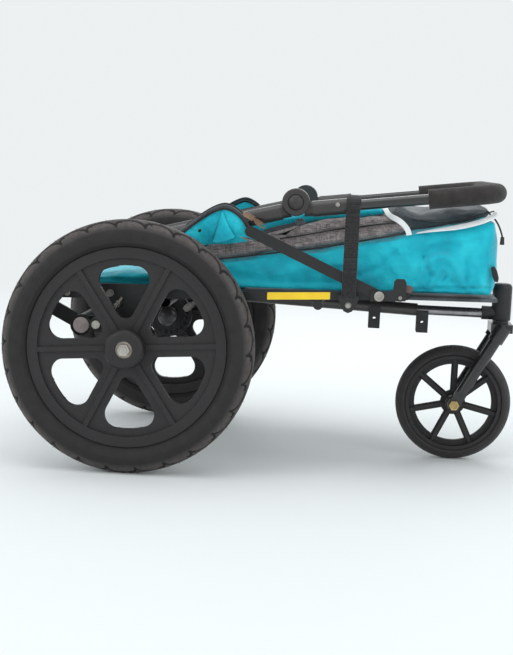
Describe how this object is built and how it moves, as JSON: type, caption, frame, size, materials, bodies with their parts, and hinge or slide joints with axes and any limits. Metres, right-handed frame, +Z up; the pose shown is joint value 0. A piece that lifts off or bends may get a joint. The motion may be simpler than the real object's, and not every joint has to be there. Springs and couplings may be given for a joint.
{
  "type": "folded three-wheel pet stroller",
  "caption": "Folded pet stroller with big spoked rear wheels, a swivelling front wheel, a soft cabin pressed flat and a folding push handle with a foam grip.",
  "frame": {"origin": "on the floor under the middle of the folded stroller's outline", "axes": "+X is the travel direction, +Y is the stroller's left, +Z is up"},
  "size_m": [0.8483, 0.633, 0.4919],
  "materials": {
    "tyre_rubber": "matte rubber",
    "rim_plastic": "fine-textured moulded plastic",
    "tube_rubber": "matte rubber",
    "bearing_steel": "ground steel",
    "black_plastic": "satin moulded plastic",
    "knob_plastic": "satin moulded plastic",
    "zinc_steel": "zinc plated",
    "frame_paint": "satin black powder coat",
    "gloss_tube": "gloss black",
    "handle_paint": "satin dark grey",
    "grip_foam": "closed-cell foam",
    "brass_bolt": "plated brass",
    "bronze_zip": "antique plated zinc",
    "latch_plastic": "brown-grey plastic",
    "webbing": "woven polypropylene webbing",
    "cyan_fabric": "coated polyester",
    "melange_fabric": "melange weave",
    "grey_fabric": "coated polyester",
    "reflective_tape": "reflective piping",
    "marker_film": "printed film without print"
  },
  "bodies": {
    "chassis": {"rear_axles": "zinc_steel", "axle_housings": "black_plastic", "rear_plates": "frame_paint", "side_rails": "frame_paint", "rail_plugs": "black_plastic", "cross_tubes": "frame_paint", "spine_tube": "frame_paint", "nose_tube": "gloss_tube", "hitch_brackets": "frame_paint", "head_tube": "black_plastic", "head_bearings": "bearing_steel", "hook_plates": "frame_paint", "frame_bolts": "zinc_steel", "pivot_pins": "zinc_steel", "brake_guides": "zinc_steel", "floor_panel": "grey_fabric", "cabin_tub": "cyan_fabric", "hood_roll": "melange_fabric", "hood_layer": "cyan_fabric", "front_fold": "grey_fabric", "side_gussets": "cyan_fabric", "zip_slider": "bronze_zip"},
    "rear_wheel_right": {"tyre_right": "tyre_rubber", "rim_right": "rim_plastic", "rim_spokes_right": "rim_plastic", "inner_tube_right": "tube_rubber", "wheel_bearings_right": "bearing_steel", "brake_disc_right": "black_plastic"},
    "rear_wheel_left": {"tyre_left": "tyre_rubber", "rim_left": "rim_plastic", "rim_spokes_left": "rim_plastic", "inner_tube_left": "tube_rubber", "wheel_bearings_left": "bearing_steel", "brake_disc_left": "black_plastic"},
    "brake_pedal": {"brake_bar": "frame_paint", "brake_caps": "black_plastic"},
    "brake_pin_right": {"brake_pin_right": "zinc_steel"},
    "brake_pin_left": {"brake_pin_left": "zinc_steel"},
    "fork": {"front_fork": "frame_paint", "front_axle": "brass_bolt"},
    "front_wheel": {"front_tyre": "tyre_rubber", "front_rim": "rim_plastic", "front_spokes_hub": "rim_plastic", "front_bearings": "bearing_steel"},
    "handle_lower": {"handle_posts": "handle_paint", "knuckle_inner": "knob_plastic"},
    "handle_upper": {"knuckle_outer": "knob_plastic", "handle_sleeves": "handle_paint", "grip_tube": "gloss_tube", "foam_grip": "grip_foam", "sleeve_rivets": "zinc_steel"},
    "button_right": {"knuckle_button_right": "knob_plastic"},
    "button_left": {"knuckle_button_left": "knob_plastic"},
    "strut_right": {"strut_right": "frame_paint"},
    "strut_left": {"strut_left": "frame_paint"},
    "latch_right": {"latch_right": "latch_plastic"},
    "latch_left": {"latch_left": "latch_plastic"},
    "strap": {"strap_web": "webbing", "strap_ring": "black_plastic"},
    "zip_pull": {"zip_pull": "bronze_zip"}
  },
  "joints": [
    {"name": "wheel_right_spin", "type": "hinge", "parent": "chassis", "child": "rear_wheel_right", "pos_m": [-0.21925, -0.27, 0.205], "axis": [0, 1, 0], "continuous": true},
    {"name": "wheel_left_spin", "type": "hinge", "parent": "chassis", "child": "rear_wheel_left", "pos_m": [-0.21925, 0.27, 0.205], "axis": [0, 1, 0], "continuous": true},
    {"name": "fork_swivel", "type": "hinge", "parent": "chassis", "child": "fork", "pos_m": [0.39775, 0, 0.27], "axis": [0, 0, 1], "continuous": true},
    {"name": "front_wheel_spin", "type": "hinge", "parent": "fork", "child": "front_wheel", "pos_m": [0.32275, 0, 0.1015], "axis": [0, 1, 0], "continuous": true},
    {"name": "handle_fold", "type": "hinge", "parent": "chassis", "child": "handle_lower", "pos_m": [-0.31425, 0, 0.345], "axis": [0, 1, 0], "range_deg": [-92, 0]},
    {"name": "handle_angle", "type": "hinge", "parent": "handle_lower", "child": "handle_upper", "pos_m": [0.03675, 0, 0.447], "axis": [0, 1, 0], "range_deg": [-70, 0]},
    {"name": "button_right_press", "type": "slide", "parent": "handle_upper", "child": "button_right", "axis": [0, 1, 0], "range_m": [0, 0.004], "stiffness_N_per_m": 400},
    {"name": "button_left_press", "type": "slide", "parent": "handle_upper", "child": "button_left", "axis": [0, -1, 0], "range_m": [0, 0.004], "stiffness_N_per_m": 400},
    {"name": "strut_right_raise", "type": "hinge", "parent": "chassis", "child": "strut_right", "pos_m": [0.17875, -0.218, 0.303], "axis": [0, 1, 0], "range_deg": [0, 91], "deforming": ["strap_web"]},
    {"name": "strut_left_raise", "type": "hinge", "parent": "chassis", "child": "strut_left", "pos_m": [0.17875, 0.218, 0.303], "axis": [0, 1, 0], "range_deg": [0, 91]},
    {"name": "brake_press", "type": "hinge", "parent": "chassis", "child": "brake_pedal", "pos_m": [-0.28125, 0, 0.232], "axis": [0, 1, 0], "range_deg": [-18, 0]},
    {"name": "brake_pin_right_slide", "type": "slide", "parent": "chassis", "child": "brake_pin_right", "axis": [0, -1, 0], "range_m": [0, 0.009]},
    {"name": "brake_pin_left_slide", "type": "slide", "parent": "chassis", "child": "brake_pin_left", "axis": [0, 1, 0], "range_m": [0, 0.009]},
    {"name": "latch_right_open", "type": "hinge", "parent": "chassis", "child": "latch_right", "pos_m": [0.21475, -0.218, 0.318], "axis": [0, 1, 0], "range_deg": [-25, 0], "stiffness_Nm_per_rad": 0.05},
    {"name": "latch_left_open", "type": "hinge", "parent": "chassis", "child": "latch_left", "pos_m": [0.21475, 0.218, 0.318], "axis": [0, 1, 0], "range_deg": [-25, 0], "stiffness_Nm_per_rad": 0.05},
    {"name": "strap_swing", "type": "hinge", "parent": "handle_upper", "child": "strap", "pos_m": [0.12975, -0.195, 0.44567], "axis": [1, 0, 0], "range_deg": [-60, 0]},
    {"name": "zip_pull_lift", "type": "hinge", "parent": "chassis", "child": "zip_pull", "pos_m": [-0.03125, -0.2142, 0.418], "axis": [0.565, 0, 0.8251], "range_deg": [-80, 0]}
  ],
  "couplings": [
    {"joint": "strut_left_raise", "follows": "strut_right_raise", "ratio": 1},
    {"joint": "brake_pin_right_slide", "follows": "brake_press", "m_per_rad": -0.0286},
    {"joint": "brake_pin_left_slide", "follows": "brake_press", "m_per_rad": -0.0286}
  ]
}
